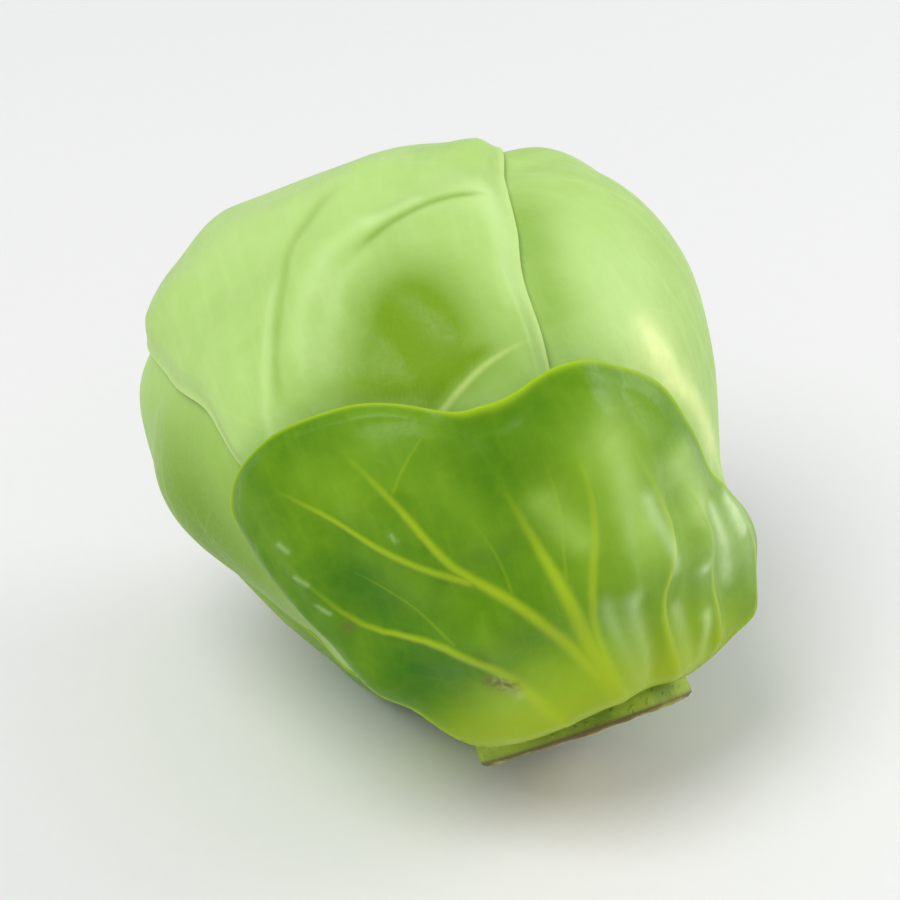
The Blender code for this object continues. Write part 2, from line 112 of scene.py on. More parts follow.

# Leaves from the inside out. A margin says how far the leaf's edge is from its widest point, in degrees,
# at even turns all round from the tip. Veins, marks and patches are placed by reach, up the leaf from
# the stalk, and swing, to either side of its midrib, and their widths and spreads are degrees too.
# Many marks and patches paint light and shade into the colour: painted highlights, sheen, glints and
# backlight, and painted shade in grooves and beside a seam; others make places paler, darker or browned.
leaves = [
    {
        "name": "head_leaf_back", "slot": "head_leaf", "look": headLook,
        "azimuth": 185.0, "widest": 118.0,
        "margin": [86, 82, 66, 60, 66, 82, 95, 84, 66, 58, 62, 78],
        "midrib": 0.00055, "lift": 0.0, "folds": [], "sink": 0.00062,
        "veins": "grown", "laterals": 6,
        "patches": [
            {"at": (70, 10), "spread": 26, "dark": 0.45},
            # paler toward the crown: painted highlight where the top catches the light
            {"at": (130, -10), "spread": 30, "light": 0.5},
        ],
    },
    {
        "name": "head_leaf_left", "slot": "head_leaf", "look": headLook,
        "azimuth": -98.0, "widest": 112.0,
        "margin": [78, 76, 68, 62, 66, 80, 89, 80, 66, 60, 64, 74],
        "midrib": 0.00055, "lift": 0.0, "folds": [], "sink": 0.00062,
        "veins": "grown", "laterals": 6,
        "patches": [
            {"at": (104, 26), "spread": 22, "dark": 0.70},
            {"at": (74, 20), "spread": 28, "dark": 0.80},
            # paler toward the crown: painted highlight where the top catches the light
            {"at": (130, 5), "spread": 30, "light": 0.3},
        ],
    },
    {
        "name": "head_leaf_right", "slot": "head_leaf", "look": headLook,
        "azimuth": 82.0, "widest": 114.0,
        "margin": [80, 74, 66, 62, 66, 82, 91, 84, 76, 66, 70, 80],
        "midrib": 0.00055, "lift": 0.0, "folds": [], "sink": 0.00062,
        "veins": "grown", "laterals": 6,
        "marks": [
            # a painted shadow on this leaf beside the seam with the front leaf
            {"path": [(136, -25), (119, -43), (98, -52)], "width": 7.0, "height": 0.0, "dark": 0.55},
            # a painted backlight: a pale cream band along the edge
            {"path": [(94, -32), (80, -26), (72, -17), (58, -2)],
             "width": 3.4, "height": 0.00006, "paintedHighlight": 0.85},
        ],
        "patches": [
            # painted backlight and highlight toward the right edge
            {"at": (112, -32), "spread": 18, "light": 0.45},
            {"at": (84, -30), "spread": 10, "paintedHighlight": 0.40},
        ],
    },
    {
        "name": "outer_leaf_right", "slot": "outer_leaf", "look": outerLook,
        "azimuth": 146.0, "widest": 86.0,
        "margin": [46, 54, 54, 50, 52, 60, 63, 54, 46, 44, 46, 50],
        "midrib": 0.00055, "lift": 0.00025, "folds": [], "sink": 0.00045,
        "veins": "grown", "laterals": 5,
        "patches": [
            {"at": (70, -44), "spread": 20, "light": 0.6},
            {"at": (90, 10), "spread": 26, "dark": 0.4},
        ],
    },
    {
        "name": "head_leaf_front", "slot": "head_leaf", "look": headLook,
        "azimuth": -15.0, "widest": 134.0,
        "margin": [72, 62, 47, 43, 48, 72, 111, 58, 38, 40, 48, 62],
        "midrib": 0.00055, "lift": 0.0, "folds": [], "sink": 0.00062,
        "veins": [
            {"width": (0.8, 0.6), "strength": 0.60, "set": 1,
             "path": [(88, 11), (93, 21), (96, 29), (98, 39)]},
            {"width": (0.5, 0.3), "strength": 0.10, "set": 1, "path": [(100, -16), (120, -30), (140, -34)]},
        ],
        "marks": [
            # raised marks are lightened and sunken ones darkened: painted highlight on the ridges and painted
            # shade in the grooves; the pale band along the seam edge is partly paler tissue and partly
            # painted highlight
            {"path": [(98, -19), (111, -14), (134, -5)], "width": 1.3, "height": 0.00010, "light": 0.45},
            {"path": [(104, -13), (119, -9), (135, -2), (150, 11)],
             "width": 1.3, "height": -0.00008, "dark": 0.34},
            {"path": [(108, -6), (123, -2), (134, 9), (140, 18)],
             "width": 2.0, "height": 0.00004, "light": 0.35},
            {"path": [(103, -3), (120, 3), (130, 14)], "width": 1.6, "height": 0.00003, "light": 0.25},
            {"path": [(130, 10), (136, 19), (141, 28), (143, 37)],
             "width": 1.2, "height": -0.00008, "dark": 0.60},
            {"path": [(135, 12), (143, 25)], "width": 1.8, "height": 0.00006, "light": 0.35},
            {"path": [(90, 10), (96, 21), (99, 30)], "width": 1.5, "height": -0.00006, "dark": 0.30},
            {"path": [(104, 37), (130, 39), (150, 35)], "width": 3.2, "height": 0.00006, "light": 0.60},
            {"path": [(99, 9), (97, 20)], "width": 1.3, "height": 0.00005, "light": 0.35},
        ],
        "patches": [
            {"at": (108, 18), "spread": 11.5, "dark": 1.0},
            {"at": (102, 9), "spread": 12, "dark": 0.60},
            {"at": (117, 18), "spread": 9, "dark": 0.40},
            {"at": (98, 0), "spread": 12, "dark": 0.32},
            {"at": (96, 24), "spread": 10, "dark": 0.40},
            # paler toward the crown and the seam: painted highlight
            {"at": (142, 34), "spread": 15, "light": 0.25},
            {"at": (152, -4), "spread": 26, "light": 0.42},
            {"at": (116, -24), "spread": 12, "light": 0.12},
        ],
    },
    {
        "name": "outer_leaf_left", "slot": "outer_leaf", "look": outerLook,
        "azimuth": -148.0, "widest": 84.0,
        "margin": [46, 46, 44, 43, 46, 56, 61, 58, 52, 50, 54, 52],
        "midrib": 0.00015, "lift": 0.0, "folds": [], "sink": 0.00045,
        "veins": "grown", "laterals": 5,
        "patches": [{"at": (80, 44), "spread": 26, "light": 0.75}],
    },
    {
        "name": "outer_leaf_front", "slot": "outer_leaf", "look": outerLook,
        "azimuth": 8.0, "widest": 70.0,
        "margin": [18, 19, 25, 32, 39, 43, 51, 70, 58, 48, 56, 54, 55, 58, 59, 60, 40, 22],
        "midrib": 0.00055, "lift": 0.00035, "sink": 0.00032,
        "folds": [
            {"start": (32.0, 14.0), "end": (66.0, 27.0), "height": 0.00035},
            {"start": (26.0, 24.0), "end": (58.0, 36.0), "height": 0.00055},
            {"start": (12.0, 34.0), "end": (40.0, 44.0), "height": 0.00065},
        ],
        "veins": [
            {"width": (2.3, 0.45), "strength": 1.0, "set": 0, "path": [(8, 7), (31, 3), (56, 0), (75, -3)]},
            {"width": (1.25, 0.45), "strength": 0.95, "set": 1,
             "path": [(30, 3), (49, -6), (62, -16), (79, -22), (94, -28)]},
            {"width": (0.85, 0.40), "strength": 0.85, "set": 2,
             "path": [(57, -13), (68, -26), (80, -35), (92, -42)]},
            {"width": (1.5, 0.45), "strength": 0.95, "set": 2,
             "path": [(12, 1), (32, -10), (46, -22), (52, -37), (75, -48)]},
            {"width": (1.1, 0.45), "strength": 0.75, "set": 2,
             "path": [(22, 4), (44, 4), (60, 10), (75, 12)]},
            {"width": (1.2, 0.45), "strength": 0.80, "set": 1,
             "path": [(8, 13), (34, 17), (50, 25), (70, 24)]},
            {"width": (1.1, 0.45), "strength": 0.80, "set": 0,
             "path": [(8, 17), (24, 28), (42, 34), (56, 32)]},
            {"width": (0.60, 0.35), "strength": 0.60, "set": 2, "path": [(8, 28), (22, 41), (36, 44)]},
            {"width": (0.40, 0.25), "strength": 0.30, "set": 0, "path": [(46, -20), (57, -27), (68, -37)]},
            {"width": (0.40, 0.25), "strength": 0.30, "set": 0, "path": [(79, -22), (84, -17), (88, -11)]},
            {"width": (0.40, 0.25), "strength": 0.25, "set": 2, "path": [(51, -8), (60, -8), (70, -10)]},
            {"width": (0.40, 0.25), "strength": 0.30, "set": 1, "path": [(48, 0), (62, 5), (76, 6)]},
        ],
        "marks": [
            {"path": [(12, 6), (38, 2), (60, 0)], "width": 2.2, "height": 0.00014},
            {"path": [(25, 4), (44, 4), (60, 10), (74, 12)], "width": 2.0, "height": 0.00020},
            {"path": [(12, 14), (34, 17), (50, 25), (64, 26)], "width": 2.0, "height": 0.00030},
            {"path": [(12, 19), (24, 28), (45, 33)], "width": 1.8, "height": 0.00030},
            {"path": [(20, 11), (40, 14), (60, 19)], "width": 2.0, "height": -0.00022},
            {"path": [(24, 22), (42, 28), (54, 30)], "width": 2.0, "height": -0.00026},
            # pale bands along the pleats, most on the right half: painted highlight and sheen
            {"path": [(60, 23), (37, 23)], "width": 1.5, "height": 0.00005, "paintedHighlight": 0.45},
            {"path": [(46, 37), (32, 36), (22, 33)], "width": 1.3, "height": 0.00005, "paintedHighlight": 0.55},
            {"path": [(42, 42), (28, 41)], "width": 1.6, "height": 0.00005, "paintedHighlight": 0.75},
            {"path": [(46, 12), (24, 10)], "width": 2.0, "height": 0.00006, "paintedHighlight": 0.40},
            {"path": [(34, 21), (17, 17)], "width": 1.3, "height": 0.00005, "paintedHighlight": 0.50},
            {"path": [(27, 26), (18, 19)], "width": 1.1, "height": 0.00005, "paintedHighlight": 0.65},
            {"path": [(48, 7), (20, 8)], "width": 1.4, "height": 0.00004, "paintedHighlight": 0.32},
            {"path": [(70, 2), (55, 8)], "width": 3.0, "height": 0.00010, "light": 0.45, "paintedHighlight": 0.10},
            {"path": [(76, 18), (62, 20), (48, 18)],
             "width": 5.0, "height": 0.0, "light": 0.45, "paintedHighlight": 0.22},
            {"path": [(62, 34), (44, 34)], "width": 4.0, "height": 0.0, "light": 0.60, "paintedHighlight": 0.25},
            # raised ridges, lightened along their crests: painted highlight
            {"path": [(62, -8), (80, -14)], "width": 5.0, "height": 0.00018, "light": 0.20},
            {"path": [(80, -30), (92, -36)], "width": 5.0, "height": 0.00010, "light": 0.25},
            {"path": [(56, -22), (72, -33)], "width": 4.0, "height": 0.00016, "light": 0.20},
            {"path": [(34, -7), (50, -17)], "width": 3.5, "height": 0.00016, "light": 0.20},
            # tiny bright spots: painted glints
            {"path": [(79, -47), (75, -45)], "width": 0.7, "height": 0.0, "paintedHighlight": 0.36},
            {"path": [(69, -47), (65, -44)], "width": 0.7, "height": 0.0, "paintedHighlight": 0.36},
            {"path": [(60, -45), (56, -42)], "width": 0.6, "height": 0.0, "paintedHighlight": 0.30},
            {"path": [(73, -25), (70, -24)], "width": 0.4, "height": 0.0, "paintedHighlight": 0.30},
            {"path": [(34, -12), (36, -17)], "width": 1.6, "height": -0.00003, "brown": 0.90},
            {"path": [(31, -11), (37, -16)], "width": 1.0, "height": 0.0, "paintedHighlight": 0.35},
        ],
        "patches": [
            {"at": (65, -36), "spread": 7, "dark": 0.85},
            {"at": (56, -32), "spread": 6, "dark": 0.60},
            {"at": (41, -29), "spread": 7.5, "dark": 0.95},
            {"at": (30, -27), "spread": 7, "dark": 0.50},
            {"at": (78, -3), "spread": 7, "dark": 0.50},
            {"at": (84, 8), "spread": 6, "dark": 0.25},
            {"at": (60, -6), "spread": 8, "dark": 0.15},
            # the lighter patches here are painted sheen, most on the right half, and the tiny bright spot is
            # a painted glint
            {"at": (30, -2), "spread": 10, "light": 0.30},
            {"at": (40, 4), "spread": 10, "light": 0.30},
            {"at": (70, 22), "spread": 14, "light": 0.48},
            {"at": (60, 8), "spread": 12, "light": 0.34},
            {"at": (30, -13), "spread": 6, "light": 0.35, "paintedHighlight": 0.10},
            {"at": (56, 32), "spread": 10, "paintedHighlight": 0.14},
            {"at": (44, 24), "spread": 13, "light": 0.45},
            {"at": (32, 40), "spread": 14, "light": 0.45, "paintedHighlight": 0.35},
            {"at": (88, -20), "spread": 12, "light": 0.25},
            {"at": (34, 29), "spread": 1.3, "paintedHighlight": 0.6},
            {"at": (52, -40), "spread": 1.4, "brown": 0.8},
        ],
    },
]

# how finely a leaf is drawn, and how it ends at its margin
drawing = {
    "squares": 200,
    "edgeCrowding": 1.35,
    "thickness": 0.00046,
    "edgeThickness": 0.00026,
    "roundedDegrees": 0.55,
    "thinDegrees": 6.0,
    "sinkDegrees": 6.5,
    "calmDegrees": 10.0,
    "swellDegrees": 17.0,
    "veinEndDegrees": 3.0,
    "lineEndDegrees": 2.0,
    "baseStarts": 2.0,
    "brownedRim": 0.75,
    "groundThickness": 0.00035,
}


def smoothStep(x):
    x = np.clip(x, 0.0, 1.0)
    return x * x * (3.0 - 2.0 * x)


def compass(azimuth, latitude):
    around, above = math.radians(azimuth), math.radians(latitude)
    return np.array([
        math.cos(above) * math.cos(around), math.cos(above) * math.sin(around), math.sin(above)
    ])


def directionsOn(leaf, reach, swing):
    out = compass(leaf["azimuth"], 0.0)
    side = compass(leaf["azimuth"] + 90.0, 0.0)
    reach, swing = np.radians(reach)[:, None], np.radians(swing)[:, None]
    along = np.sin(reach) * out - np.cos(reach) * np.array([0.0, 0.0, 1.0])
    return np.cos(swing) * along + np.sin(swing) * side


def placeOn(leaf, directions):
    out = compass(leaf["azimuth"], 0.0)
    side = compass(leaf["azimuth"] + 90.0, 0.0)
    swing = np.degrees(np.arcsin(np.clip(directions @ side, -1.0, 1.0)))
    reach = np.degrees(np.arctan2(directions @ out, -directions[:, 2]))
    return np.where(reach < -90.0, reach + 360.0, reach), swing


def fromStalk(directions):
    return np.degrees(np.arccos(np.clip(-directions[:, 2], -1.0, 1.0)))


def marginRadius(leaf, turn):
    values = np.array(leaf["margin"], float)
    place = np.degrees(turn) * len(values) / 360.0 % len(values)
    number = np.floor(place).astype(int)
    t = place - number
    before, here, after, beyond = (values[(number + step) % len(values)] for step in (-1, 0, 1, 2))
    bend = 2.0 * before - 5.0 * here + 4.0 * after - beyond
    twist = 3.0 * (here - after) + beyond - before
    return here + 0.5 * t * (after - before + t * (bend + t * twist))


def outsideMargin(leaf, directions):
    # degrees outside the margin, negative inside, and how far out as a share of it
    reach, swing = placeOn(leaf, directions)
    ahead = reach - leaf["widest"]
    distance = np.hypot(ahead, swing)
    edge = marginRadius(leaf, np.arctan2(swing, ahead))
    return distance - edge, distance / edge


def thicknessOf(leaf, directions):
    reach, swing = placeOn(leaf, directions)
    outShare = np.clip(outsideMargin(leaf, directions)[1], 0.0, 1.0)
    thinning = 1.0 - outShare ** growth["bladeThinning"]
    edge = growth["leafEdgeThickness"]
    blade = edge + (growth["leafThickness"] - edge) * thinning
    fade = 1.0 - smoothStep((reach - growth["leafBaseDegrees"]) / leaf["widest"])
    ridge = np.exp(-((swing / growth["midribDegrees"]) ** 2)) * (1.0 - outShare ** growth["midribThinning"])
    return blade + leaf["midrib"] * fade * ridge


def offPath(places, start, end):
    # distance of each place from a straight run, and how far along the run it is
    start, end = np.array(start, float), np.array(end, float)
    run = end - start
    along = np.clip((places - start) @ run / (run @ run), 0.0, 1.0)
    return np.linalg.norm(places - start - along[:, None] * run, axis=1), along


def liftOf(leaf, directions):
    outShare = np.clip(outsideMargin(leaf, directions)[1], 0.0, 1.0)
    lift = leaf["lift"] * smoothStep((outShare - growth["liftStarts"]) / (1.0 - growth["liftStarts"]))
    places = np.stack(placeOn(leaf, directions), axis=1)
    for fold in leaf["folds"]:
        off, along = offPath(places, fold["start"], fold["end"])
        ridge = np.exp(-((off / growth["foldDegrees"]) ** 2)) * (1.0 - growth["foldFade"] * along)
        lift = lift + fold["height"] * ridge
    return lift


def creaseOf(leaf, directions):
    outside = outsideMargin(leaf, directions)[0]
    fade = smoothStep((fromStalk(directions) - growth["collarDegrees"]) / growth["collarDegrees"])
    return growth["creaseDepth"] * fade * np.exp(-((outside / growth["creaseDegrees"]) ** 2))


def collarThickness(directions):
    share = smoothStep((fromStalk(directions) - growth["leafBaseDegrees"]) / growth["collarTaperDegrees"])
    thick, edge = growth["collarThickness"], growth["collarEdgeThickness"]
    return thick + (edge - thick) * share


def heartSurface(directions):
    radius = np.full(len(directions), growth["heartRadius"])
    for shape in headShape:
        towards = directions @ compass(shape["azimuth"], shape["latitude"])
        off = np.degrees(np.arccos(np.clip(towards, -1.0, 1.0)))
        radius = radius + shape["push"] * np.exp(-((off / shape["spread"]) ** 2))
    return radius - sum(creaseOf(leaf, directions) for leaf in leaves)


def coverAt(outside):
    return 1.0 - smoothStep((outside - growth["drapeStarts"]) / growth["drapeDegrees"])


def surfaceUnder(layer, directions):
    outside = fromStalk(directions) - growth["collarDegrees"]
    collar = growth["leafGap"] + collarThickness(directions)
    radius = heartSurface(directions) + collar * coverAt(outside)
    for leaf in leaves[:layer]:
        rise = growth["leafGap"] + liftOf(leaf, directions) + thicknessOf(leaf, directions)
        smoothed = (1.0 - growth["creaseShowingThrough"]) * creaseOf(leaf, directions)
        radius = radius + rise * coverAt(outsideMargin(leaf, directions)[0]) + smoothed
    return radius


def laidOver():
    return (
        Matrix.Translation((0.0, 0.0, lying["height"]))
        @ Matrix.Rotation(math.radians(lying["heading"]), 4, "Z")
        @ Matrix.Rotation(math.radians(lying["lean"]), 4, "Y")
        @ Matrix.Rotation(math.radians(lying["roll"]), 4, "Z")
    )


def unevenness(directions, size, seed):
    # a smooth random swell over the sphere, about -1 to 1, with waves about size degrees long
    draw = np.random.default_rng(seed)
    total = np.zeros(len(directions))
    waves = 14
    for wave in range(waves):
        heading = draw.normal(size=3)
        heading *= 360.0 / size / np.linalg.norm(heading)
        total += np.sin(directions @ heading + draw.uniform(0.0, math.tau))
    return total / math.sqrt(waves)


# how veins grow and fade: angles in degrees, widths at a vein's start and end, fades as shares of its length
veining = {
    "sets": 3,
    "midribWidth": (1.5, 0.4), "midribPlaces": (0.0, 0.15, 0.3, 0.45, 0.6, 0.72), "midribSway": 3.0,
    "lateralWidth": (0.8, 0.3), "lateralAngle": 48.0, "lateralShare": 0.85, "lateralSteps": 11,
    "firstLateral": 0.04, "lateralGap": 0.10,
    "branchWidth": (0.45, 0.2), "branchAngle": 30.0, "branchShare": 0.45, "branchSteps": 2,
    "curl": 3.2, "step": 6.0,
    "fadeIn": 0.06, "fadeFrom": 0.6, "fadeOver": 0.4,
    "softest": 0.8, "reachOfLine": 8.0, "haloWidths": 4.0,
}


def sideVein(start, angle, turn, steps, width, strength, number, draw):
    # walks out from a point towards the margin, curling to the tip
    reach, swing = start
    path = [start]
    for _ in range(steps):
        reach += veining["step"] * math.cos(math.radians(angle))
        swing += veining["step"] * math.sin(math.radians(angle))
        angle += turn + draw.uniform(-4.0, 4.0)
        path.append((reach, swing))
    return {"width": width, "strength": strength, "set": number, "path": path}


def grownVeins(leaf, seed):
    draw = np.random.default_rng(seed)
    tip = leaf["widest"] + leaf["margin"][0]
    base = growth["leafBaseDegrees"] - 6.0
    run = tip - base
    share = leaf["look"]["grownShare"]
    sway = veining["midribSway"]
    parts = veining["midribPlaces"]
    midrib = [(base + run * part, draw.uniform(-1.0, 1.0) * part * sway) for part in parts]
    veins = [{"width": veining["midribWidth"], "strength": share, "set": 0, "path": midrib}]
    for number in range(leaf["laterals"]):
        for side in (-1.0, 1.0):
            up = veining["firstLateral"] + veining["lateralGap"] * number
            up = up + draw.uniform(-0.015, 0.015) + 0.02 * side
            start = (base + run * up, 0.0)
            angle = side * (veining["lateralAngle"] - 3.0 * number + draw.uniform(-5.0, 5.0))
            turn = -side * veining["curl"]
            lateral = sideVein(start, angle, turn, veining["lateralSteps"] - number, veining["lateralWidth"],
                               veining["lateralShare"] * share, 1 + number % 2, draw)
            veins.append(lateral)
            for place, flip in ((3, 1.0), (5, -1.0), (7, 1.0)):
                if place < len(lateral["path"]) - 2:
                    here = lateral["path"][place]
                    branchAngle = angle + side * flip * veining["branchAngle"]
                    branchSet = 0 if place > 3 else 2 - number % 2
                    branch = sideVein(here, branchAngle, turn, veining["branchSteps"],
                                      veining["branchWidth"], veining["branchShare"] * share, branchSet, draw)
                    veins.append(branch)
    return veins


def smoothed(path):
    # the same path with its corners rounded off
    points = np.array([path[0], *path, path[-1]], float)
    steps = 4
    curve = []
    for before, here, after, beyond in zip(points, points[1:], points[2:], points[3:]):
        for t in np.arange(steps) / steps:
            bend = 2.0 * before - 5.0 * here + 4.0 * after - beyond
            twist = 3.0 * (here - after) + beyond - before
            curve.append(here + 0.5 * t * (after - before + t * (bend + t * twist)))
    return [*curve, points[-1]]


def veinMaps(veins, places):
    # soft ridges for the mesh, and for the material each place's signed distance from the nearest vein
    # in vein widths, with that vein's strength. The veins are in sets that keep clear of each other.
    ridges, lines = np.zeros(len(places)), {}
    for number in range(veining["sets"]):
        nearest = np.full(len(places), veining["reachOfLine"])
        line, share = nearest.copy(), np.zeros(len(places))
        for vein in veins:
            if vein["set"] != number:
                continue
            runs = len(vein["path"]) - 1
            for place in range(runs):
                here = vein["path"][place]
                run = np.subtract(vein["path"][place + 1], here)
                off, along = offPath(places, here, here + run)
                x, y = (places - here).T
                gone = (place + along) / runs
                width = vein["width"][0] + (vein["width"][1] - vein["width"][0]) * gone
                end = 1.0 - smoothStep((gone - veining["fadeFrom"]) / veining["fadeOver"])
                fade = vein["strength"] * end * smoothStep(gone / veining["fadeIn"])
                ridge = np.exp(-((off / np.maximum(width, veining["softest"])) ** 2))
                ridges = np.maximum(ridges, fade * ridge)
                away = off / width
                closer = away < nearest
                nearest = np.where(closer, away, nearest)
                line = np.where(closer, np.where(run[0] * y > run[1] * x, away, -away), line)
                share = np.where(closer, fade, share)
        lines[f"line{number}"] = line
        lines[f"share{number}"] = share * np.exp(-((nearest / veining["haloWidths"]) ** 2))
    return ridges, lines


def alongMark(mark, places):
    # 1 on the mark's path, fading to its sides and to both its ends
    path = smoothed(mark["path"])
    runs = len(path) - 1
    mask = np.zeros(len(places))
    for number in range(runs):
        off, along = offPath(places, path[number], path[number + 1])
        gone = (number + along) / runs
        ends = smoothStep(gone / 0.2) * smoothStep((1.0 - gone) / 0.2)
        mask = np.maximum(mask, ends * np.exp(-((off / mark["width"]) ** 2)))
    return mask


def markMaps(leaf, places):
    # how much each place is darkened, lightened, given painted highlights and browned, and how far it is
    # raised;
    # the darkening and lightening are partly the leaf's own tone and partly painted shade and painted
    # highlight
    maps = {kind: np.zeros(len(places)) for kind in ("dark", "light", "paintedHighlight", "brown", "height")}
    parts = [(mark, alongMark(mark, places)) for mark in leaf.get("marks", [])]
    for patch in leaf["patches"]:
        off = np.linalg.norm(places - np.array(patch["at"], float), axis=1)
        parts.append((patch, np.exp(-((off / patch["spread"]) ** 2))))
    for part, mask in parts:
        for kind in maps.keys() & part.keys():
            maps[kind] += part[kind] * mask
    relief = maps.pop("height")
    return relief, {kind: np.clip(values, 0.0, 1.0) for kind, values in maps.items()}


def addAttribute(mesh, name, values):
    mesh.attributes.new(name, "FLOAT", "POINT").data.foreach_set("value", np.asarray(values, np.float32))


def finishPiece(name, body, attributes):
    # turns the bmesh into a piece that stands for its CAD node
    bmesh.ops.recalc_face_normals(body, faces=body.faces)
    if body.calc_volume(signed=True) < 0.0:
        bmesh.ops.reverse_faces(body, faces=body.faces)
    mesh = bpy.data.meshes.new(name + "_look")
    body.to_mesh(mesh)
    body.free()
    mesh.shade_smooth()
    for key, values in attributes.items():
        addAttribute(mesh, key, values)
    piece = bpy.data.objects.new(name + "_look", mesh)
    bpy.context.scene.collection.objects.link(piece)
    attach(piece, "root")
    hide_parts(name)
    return piece


def leafPlaces(leaf, body):
    # a square grid drawn out to the leaf's outline, with its last rows crowded at the margin
    x, y = np.clip([v.co[:2] for v in body.verts], -1.0, 1.0).T
    disc = np.array([x * np.sqrt(1.0 - y * y / 2.0), y * np.sqrt(1.0 - x * x / 2.0)])
    turn = np.arctan2(disc[1], disc[0])
    out = np.clip(np.hypot(*disc), 0.0, 1.0)
    crowded = 1.0 - (1.0 - out) ** drawing["edgeCrowding"]
    distance = crowded * marginRadius(leaf, turn)
    return np.stack([leaf["widest"] + distance * np.cos(turn), distance * np.sin(turn)], axis=1)


def makeLeaf(layer):
    leaf = leaves[layer]
    look = leaf["look"]
    body = bmesh.new()
    bmesh.ops.create_grid(body, x_segments=drawing["squares"], y_segments=drawing["squares"], size=1.0)
    made = bmesh.ops.extrude_face_region(body, geom=body.faces[:], use_keep_orig=True)
    body.verts.index_update()
    isOuter = np.zeros(len(body.verts), bool)
    isOuter[[part.index for part in made["geom"] if isinstance(part, bmesh.types.BMVert)]] = True
    places = leafPlaces(leaf, body)
    directions = directionsOn(leaf, places[:, 0], places[:, 1])
    inside = -outsideMargin(leaf, directions)[0]
    if leaf["veins"] == "grown":
        veins = grownVeins(leaf, 20 + layer)
    else:
        veins = [dict(vein, path=smoothed(vein["path"])) for vein in leaf["veins"]]
    ridges, lines = veinMaps(veins, places[isOuter])
    relief, marks = markMaps(leaf, places[isOuter])
    rim = np.exp(-((inside / look["rimDegrees"]) ** 2))
    baseFrom = growth["leafBaseDegrees"] + drawing["baseStarts"]
    base = 1.0 - smoothStep((fromStalk(directions) - baseFrom) / look["baseDegrees"])
    attributes = {name: np.zeros(len(places)) for name in (*lines, *marks)}
    for name, values in {**lines, **marks}.items():
        attributes[name][isOuter] = values
    attributes["brown"] = np.maximum(attributes["brown"], drawing["brownedRim"] * rim * base)
    attributes.update({
        "rim": rim,
        "base": base,
        "across": np.radians(places[:, 1]) * growth["heartRadius"],
        "along": np.radians(places[:, 0]) * growth["heartRadius"],
    })
    for number in range(veining["sets"]):
        attributes[f"share{number}"] *= smoothStep(inside / drawing["lineEndDegrees"])
    sunk = leaf["sink"] * (1.0 - smoothStep(inside / drawing["sinkDegrees"]))
    surface = surfaceUnder(layer, directions) + growth["leafGap"] + liftOf(leaf, directions)
    surface += thicknessOf(leaf, directions) - sunk - look["veinHeight"]
    away = smoothStep(inside / drawing["calmDegrees"])
    surface += away * look["bulge"] * (unevenness(directions, drawing["swellDegrees"], layer) - 1.0)
    edge = drawing["edgeThickness"]
    thick = edge + (drawing["thickness"] - edge) * smoothStep(inside / drawing["thinDegrees"])
    rounding = np.sqrt(1.0 - (1.0 - np.clip(inside / drawing["roundedDegrees"], 0.0, 1.0)) ** 2)
    radius = surface - 0.5 * thick + np.where(isOuter, 0.5, -0.5) * thick * rounding
    veinEnds = smoothStep(inside[isOuter] / drawing["veinEndDegrees"])
    radius[isOuter] += away[isOuter] * relief + look["veinHeight"] * ridges * veinEnds
    turned = np.array(laidOver().to_3x3())
    points = (directions * radius[:, None]) @ turned.T + np.array([0.0, 0.0, lying["height"]])
    points[:, 2] = np.maximum(points[:, 2], np.where(isOuter, 0.0, drawing["groundThickness"] * rounding))
    for vertex, point in zip(body.verts, points):
        vertex.co = point
    piece = finishPiece(leaf["name"], body, attributes)
    piece.data.materials.append(leafMaterial(leaf["name"], look, layer))
    print("leaf made:", leaf["name"], len(piece.data.polygons), "faces")


